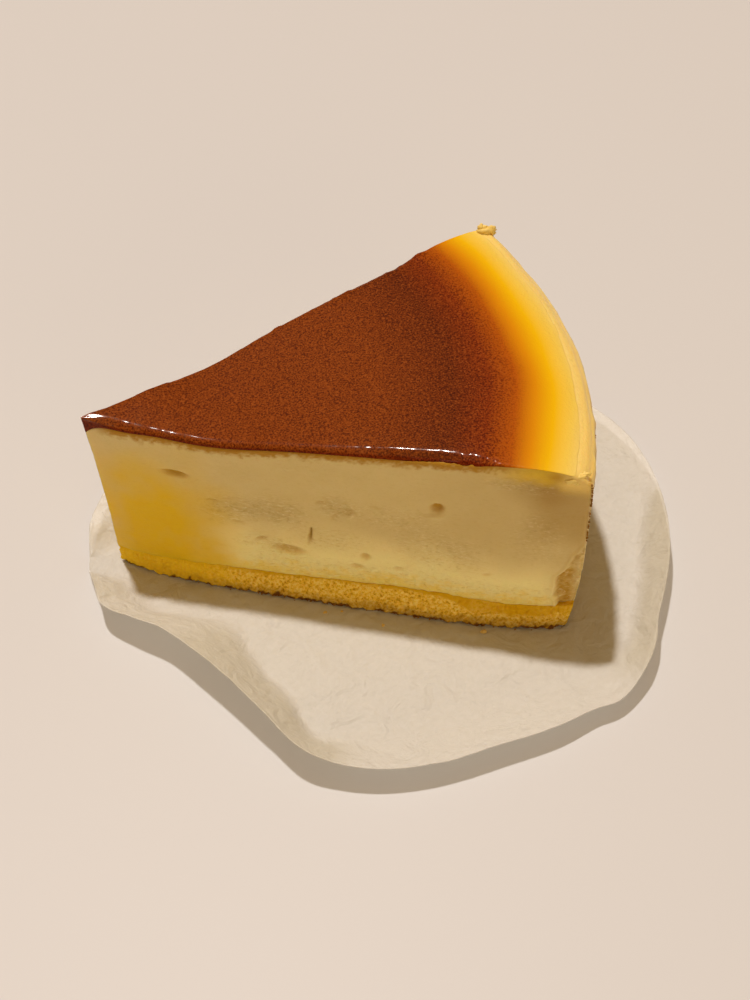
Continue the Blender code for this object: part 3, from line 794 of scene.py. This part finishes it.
linerShape = {
    "thickness": 0.14, "steps": (360, 130), "clear": 4.5, "clearRun": 7.0,
    # the sheet's edge: direction in degrees, how far out, how high, where it starts to lift, share of that
    # run bent
    "edge": [(-177, 72.9, 7.0, 60.0, 0.40), (-171, 72.2, 7.5, 57.0, 0.40), (-165, 67.4, 9.0, 50.0, 0.30),
             (-158, 62.5, 10.0, 43.3, 0.20), (-148, 60.7, 11.5, 44.2, 0.15), (-137, 61.4, 12.0, 48.3, 0.15),
             (-126, 65.0, 11.2, 51.5, 0.15), (-117, 70.0, 9.5, 59.0, 0.20), (-110, 71.3, 7.5, 57.5, 0.40),
             (-102, 71.6, 6.5, 54.0, 0.50), (-92, 70.9, 6.1, 53.0, 0.50), (-80, 70.1, 6.0, 53.0, 0.50),
             (-68, 71.8, 5.5, 54.0, 0.50), (-61, 72.9, 5.0, 57.0, 0.40), (-56, 75.2, 4.6, 61.0, 0.30),
             (-48, 75.0, 6.0, 64.0, 0.30), (-42, 73.7, 6.5, 64.5, 0.25), (-37, 71.8, 6.5, 64.3, 0.20),
             (-29, 71.1, 7.0, 63.5, 0.20), (-18, 71.3, 7.0, 62.9, 0.20), (-8, 71.9, 6.0, 64.5, 0.20),
             (-2, 73.0, 4.0, 67.0, 0.30), (5, 74.3, 2.5, 66.0, 0.40), (16, 74.8, 3.6, 62.0, 0.50),
             (25, 74.4, 3.2, 62.0, 0.50), (40, 74.6, 1.6, 66.0, 0.50), (56, 74.0, 0.8, 70.0, 0.50),
             (72, 72.0, 2.5, 62.0, 0.50), (86, 71.2, 4.0, 57.0, 0.50), (100, 71.2, 4.5, 55.0, 0.50),
             (112, 71.6, 7.0, 52.0, 0.50), (123, 72.4, 8.5, 50.0, 0.50), (136, 73.8, 6.0, 54.0, 0.50),
             (148, 74.8, 3.6, 60.0, 0.50), (158, 75.0, 4.0, 60.0, 0.50), (166, 75.0, 5.0, 60.0, 0.40),
             (175, 74.6, 6.0, 60.0, 0.40)],
    # creases pressed into the sheet: from x, y to x, y, height, half width
    "creases": [(48.5, -39.4, 57.0, -44.6, 0.7, 0.5), (50.0, -38.5, 49.0, -52.0, 0.5, 0.7),
                (56.5, -45.0, 50.0, -55.0, 0.6, 0.6), (-56.0, -7.0, -71.0, -12.0, 0.7, 0.7),
                (-60.0, -12.0, -68.0, -8.0, 0.6, 0.6), (-50.0, -12.5, -64.0, -17.0, 0.6, 0.9),
                (-66.0, -4.0, -72.0, -7.0, 0.6, 0.5), (-22.0, -40.0, 6.0, -47.0, 0.18, 1.2),
                (-24.0, -50.0, 10.0, -58.0, 0.22, 1.5), (12.0, -46.0, 34.0, -60.0, 0.2, 1.6),
                (-60.0, 10.0, -71.0, 22.0, 0.5, 1.0), (-62.0, 2.0, -72.0, 4.0, 0.4, 0.8)],
    "crumple": 0.3, "crumpleMm": 9.0, "fineCrumple": 0.12, "fineCrumpleMm": 3.2,
}


def aroundEdge(direction, column):
    # one column of the edge table at any direction: cubic curves through the rows, closed round the sheet,
    # the slope at each row being that of the line between its neighbours
    table = np.array(linerShape["edge"], dtype=float)
    angle, value = np.radians(table[:, 0]), table[:, column]
    angle = np.concatenate([angle[-2:] - 2 * math.pi, angle, angle[:3] + 2 * math.pi])
    value = np.concatenate([value[-2:], value, value[:3]])
    slope = np.zeros_like(value)
    slope[1:-1] = (value[2:] - value[:-2]) / (angle[2:] - angle[:-2])
    index = np.clip(np.searchsorted(angle, direction, side="right") - 1, 1, len(angle) - 3)
    width = angle[index + 1] - angle[index]
    t = (direction - angle[index]) / width
    return (value[index] * (1 + 2 * t) * (1 - t) ** 2 + slope[index] * width * t * (1 - t) ** 2
            + value[index + 1] * t ** 2 * (3 - 2 * t) + slope[index + 1] * width * t ** 2 * (t - 1))


def beyondSlice(x, y):
    # distance in plan from the slice's outline, negative under it
    x, y = x - sliceShape["tipAt"][0], y - sliceShape["tipAt"][1]
    front = -x * math.sin(halfAngle) - y * math.cos(halfAngle)
    back = -x * math.sin(halfAngle) + y * math.cos(halfAngle)
    return np.maximum(np.maximum(front, back), np.hypot(x, y) - sliceShape["radius"] - sliceShape["belly"])


def makeLiner(material):
    # rays from the middle: flat, then a bend (parabola) that runs on straight up to the edge's height, plus
    # creases (1 / (1 + distance to the 1.6)) and crumple (ridges of folded noise); lifted marks what stands
    # steeply off the table
    s = linerShape
    rings, rays = s["steps"][1], s["steps"][0]
    direction = np.linspace(-math.pi, math.pi, rays, endpoint=False)[None, :]
    out, top, start, bend = (aroundEdge(direction, column) for column in (1, 2, 3, 4))
    reach = (np.arange(1, rings + 1) / rings)[:, None] * out
    x, y = reach * np.cos(direction), reach * np.sin(direction)
    run = bend * (out - start)
    past = np.maximum(0, reach - start)
    height = top * np.where(past < run, past ** 2 / (2 * run), past - run / 2) / (out - start - run / 2)
    free = smooth((beyondSlice(x, y) - s["clear"]) / s["clearRun"])
    height = height * free
    lifted = smooth(height / 3.5) * smooth((6.0 * top / np.maximum(out - start, 1.0) - 2.2) / 1.8)
    for x0, y0, x1, y1, rise, halfWidth in s["creases"]:
        length = math.hypot(x1 - x0, y1 - y0)
        along = ((x - x0) * (x1 - x0) + (y - y0) * (y1 - y0)) / length
        aside = ((y - y0) * (x1 - x0) - (x - x0) * (y1 - y0)) / length
        ends = smooth((along + 3) / 5) * smooth((length + 3 - along) / 5)
        height = height + rise * ends * free / (1 + (np.abs(aside) / halfWidth) ** 1.6)
    rumple = s["crumple"] * (1 - np.abs(layered(x, y, 0.0, s["crumpleMm"], 91, 3, 0.55))) ** 2
    fine = s["fineCrumple"] * (1 - np.abs(layered(x, y, 0.0, s["fineCrumpleMm"], 97, 2, 0.5))) ** 2
    height = np.maximum(height + (rumple + fine) * smooth((beyondSlice(x, y) - 1) / 8), 0.0)
    points = np.stack([x, y, height], axis=-1).reshape(-1, 3)
    points = np.concatenate([points, [[0.0, 0.0, 0.0]]])
    lifted = np.concatenate([lifted.reshape(-1), [0.0]])
    ids = closedGrid(rings, rays)
    middle = fan(rings * rays, ids[0, :-1], ids[0, 1:])
    piece = putMesh("greaseproofLiner", material, points, cells(ids).tolist() + middle.tolist(),
                    {"lifted": lifted})
    wall = piece.modifiers.new("thickness", "SOLIDIFY")
    wall.thickness, wall.offset = s["thickness"] * toMetres, 1.0
    return piece


crumbShape = {
    # torn bits: x, y, z and half sizes along x, y and z
    "farFlake": [(38.9, 53.0, 52.6, 2.3, 1.2, 1.6), (37.6, 53.4, 53.6, 1.0, 0.8, 1.2),
                 (40.2, 52.6, 53.3, 1.0, 0.9, 1.2), (38.7, 53.1, 53.8, 1.1, 0.8, 0.9)],
    "frontCorner": [(35.4, -35.0, 49.9, 1.5, 0.5, 0.7), (37.2, -34.8, 50.3, 1.3, 0.6, 0.7),
                    (36.2, -35.4, 49.3, 0.8, 0.4, 0.5), (38.4, -34.4, 50.4, 0.9, 0.6, 0.7),
                    (34.4, -34.9, 49.3, 0.6, 0.4, 0.4)],
    "loose": [(-18.6, -19.3, 0.5, 0.4, 0.35, 0.3), (-14.5, -19.9, 0.45, 0.35, 0.3, 0.25),
              (-5.6, -26.3, 0.45, 0.4, 0.35, 0.3), (17.6, -33.6, 0.7, 0.6, 0.55, 0.45)],
    "footCount": 34, "wallCount": 90, "steps": (12, 16),
}


def lumps(name, places, sizes, seed, material):
    # uneven balls: radius 1 + 0.42 noise over the sphere, one closed ball for each place, all in one mesh
    ns, nr = crumbShape["steps"]
    theta = np.linspace(0, math.pi, ns + 1)[1:-1][None, :, None]
    phi = np.linspace(0, 2 * math.pi, nr, endpoint=False)[None, None, :]
    way = np.stack(np.broadcast_arrays(np.sin(theta) * np.cos(phi), np.sin(theta) * np.sin(phi),
                                       np.cos(theta) + 0 * phi), axis=-1).reshape(1, -1, 3)
    way = np.concatenate([way, [[[0, 0, 1.0], [0, 0, -1.0]]]], axis=1)
    count = len(places)
    shift = (np.arange(count) * 7.3 + seed)[:, None]
    swell = 1 + 0.42 * layered(way[..., 0] + shift, way[..., 1], way[..., 2], 0.7, seed, 2, 0.7)
    points = places[:, None, :] + way * swell[..., None] * sizes[:, None, :]
    ids = closedGrid(ns - 1, nr)
    sides = cells(ids)
    top = fan((ns - 1) * nr, ids[0, :-1], ids[0, 1:])
    low = fan((ns - 1) * nr + 1, ids[-1, 1:], ids[-1, :-1])
    each = way.shape[1]
    faces = []
    for index in range(count):
        first = index * each
        faces += (sides + first).tolist() + (top + first).tolist() + (low + first).tolist()
    return putMesh(name, material, points.reshape(-1, 3), faces)


def makeCrumbs(creamMaterial, paleMaterial, brownMaterial):
    # foot crumbs drawn evenly along r, wall crumbs drawn as a high power of a draw, so most lie by the
    # front corner
    c = crumbShape
    rng = np.random.default_rng(8)
    pieces = []
    # crumbs dragged along the foot of the front cut
    count = c["footCount"]
    r = rng.uniform(20, 113, count)
    places = slicePoint(r, np.zeros(count), np.zeros(count), np.abs(rng.normal(0, 0.25, count)))
    places[:, 2] = 0.35 + rng.uniform(0, 0.4, count)
    pieces.append(lumps("footCrumbs", places, rng.uniform(0.1, 0.24, (count, 1)) * np.array([1, 1, 0.8]), 3,
                        brownMaterial))
    for name, key, material, seed in (("looseCrumbs", "loose", paleMaterial, 5),
                                      ("farFlake", "farFlake", creamMaterial, 21),
                                      ("cornerCrumbs", "frontCorner", creamMaterial, 33)):
        spots = np.array(c[key])
        pieces.append(lumps(name, spots[:, :3], spots[:, 3:], seed, material))
    # brown crumbs from the tin stuck to the outer wall, most of them by the front corner
    count = c["wallCount"]
    z = rng.uniform(30, 48.2, count)
    share = 0.004 + 0.9 * rng.random(count) ** 9
    places = slicePoint(wallRadius(z, share) - 0.02, share, z)
    pieces.append(lumps("wallCrumbs", places, rng.uniform(0.08, 0.24, (count, 1)) * np.ones(3), 7,
                        brownMaterial))
    return pieces


# build the pieces, then hide the solids they take the place of, hang each piece on the root and give
# the solids the pieces' materials
cream, skin, sponge, paper = bakedCream(), bakedSkin(), spongeCrumb(), greaseproofPaper()
tornCream, paleCrumb, brownCrumb = (crumbMaterial(name) for name in ("tornCream", "paleCrumb", "brownCrumb"))
print("materials made")

creamPiece = makeCream(cream)
skinPiece = makeSkin(skin)
spongePiece = makeSponge(sponge)
print("slice made")
linerPiece = makeLiner(paper)
print("liner made")
crumbPieces = makeCrumbs(tornCream, paleCrumb, brownCrumb)
print("crumbs made")

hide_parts("cheesecake_filling")
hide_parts("cheesecake_filling")
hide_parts("sponge_base")
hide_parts("paper_liner")
for piece in [creamPiece, skinPiece, spongePiece, linerPiece] + crumbPieces:
    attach(piece, "root")
for node, material in (("cheesecake_filling", cream), ("sponge_base", sponge), ("paper_liner", paper)):
    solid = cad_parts[node]
    solid.data.materials.clear()
    solid.data.materials.append(material)

# the stage: a pale table, a key light from behind, a low soft light from the front, warm fill all round
stageLook = {"floor": "#d0d2d3", "floorDepth": -0.0003, "floorReach": 1500, "floorRoughness": 0.55,
             "world": "#ffc880", "worldStrength": 0.28}
lights = {
    # name: place in metres, aimed at, size across in metres, power in watts, colour
    "key": ((-0.34, 0.83, 3.20), (0.0, 0.0, 0.03), 0.17, 88.0, "#fff5f0"),
    "overhead": ((0.0, 0.15, 1.60), (0.0, 0.0, 0.03), 1.0, 1.5, "#ffe0b0"),
    "front": ((0.20, -1.45, 0.16), (0.0, 0.0, 0.03), 1.2, 7.4, "#ffebc8"),
}
cameraView = {"azimuth": -10.12, "elevation": 46.3, "roll": -1.9, "aim": (0.0009, 0.0156, 0.0),
              "distance": 0.3667,
              "focalPixels": 1394.5}


def makeFloor():
    # a flat square, a little under the paper
    look = stageLook
    t = np.linspace(-look["floorReach"], look["floorReach"], 3)
    gx, gy = np.meshgrid(t, t, indexing="ij")
    points = np.stack([gx, gy, np.full_like(gx, look["floorDepth"] / toMetres)], axis=-1).reshape(-1, 3)
    material, _, shader = newMaterial("paleTable")
    setSockets(shader, {"Base Color": hexColour(look["floor"]), "Roughness": look["floorRoughness"]})
    putMesh("floor", material, points, cells(np.arange(9).reshape(3, 3)).tolist())


def makeLights():
    # round area lights, each turned from its place to its aim, and a world that fills the shadows
    for name, (place, aim, size, power, colour) in lights.items():
        lamp = bpy.data.lights.new(name, "AREA")
        lamp.shape, lamp.size, lamp.energy = "DISK", size, power
        lamp.color = hexColour(colour)[:3]
        holder = bpy.data.objects.new(name, lamp)
        bpy.context.scene.collection.objects.link(holder)
        holder.location = place
        holder.rotation_euler = (Vector(aim) - Vector(place)).to_track_quat("-Z", "Y").to_euler()
    world = bpy.data.worlds.new("studio")
    world.use_nodes = True
    setSockets(world.node_tree.nodes["Background"],
               {"Color": hexColour(stageLook["world"]), "Strength": stageLook["worldStrength"]})
    bpy.context.scene.world = world


def makeCamera():
    # looks along (-sin az cos el, cos az cos el, -sin el), turned by roll about that line
    c = cameraView
    az, el, roll = (math.radians(c[key]) for key in ("azimuth", "elevation", "roll"))
    forward = Vector((-math.sin(az) * math.cos(el), math.cos(az) * math.cos(el), -math.sin(el)))
    level = Vector((math.cos(az), math.sin(az), 0.0))
    above = level.cross(forward)
    right = math.cos(roll) * level + math.sin(roll) * above
    up = right.cross(forward)
    data = bpy.data.cameras.new("view")
    data.sensor_width = 36.0
    # the image is 750 x 1000, so its long side is 1000
    data.lens = c["focalPixels"] * data.sensor_width / 1000.0
    data.clip_start, data.clip_end = 0.01, 10.0
    camera = bpy.data.objects.new("view", data)
    bpy.context.scene.collection.objects.link(camera)
    turn = Matrix((right, up, -forward)).transposed().to_4x4()
    camera.matrix_world = Matrix.Translation(Vector(c["aim"]) - forward * c["distance"]) @ turn
    bpy.context.scene.camera = camera


makeFloor()
makeLights()
makeCamera()
bpy.context.scene.view_settings.view_transform = "Standard"
print("stage, lights and camera made")
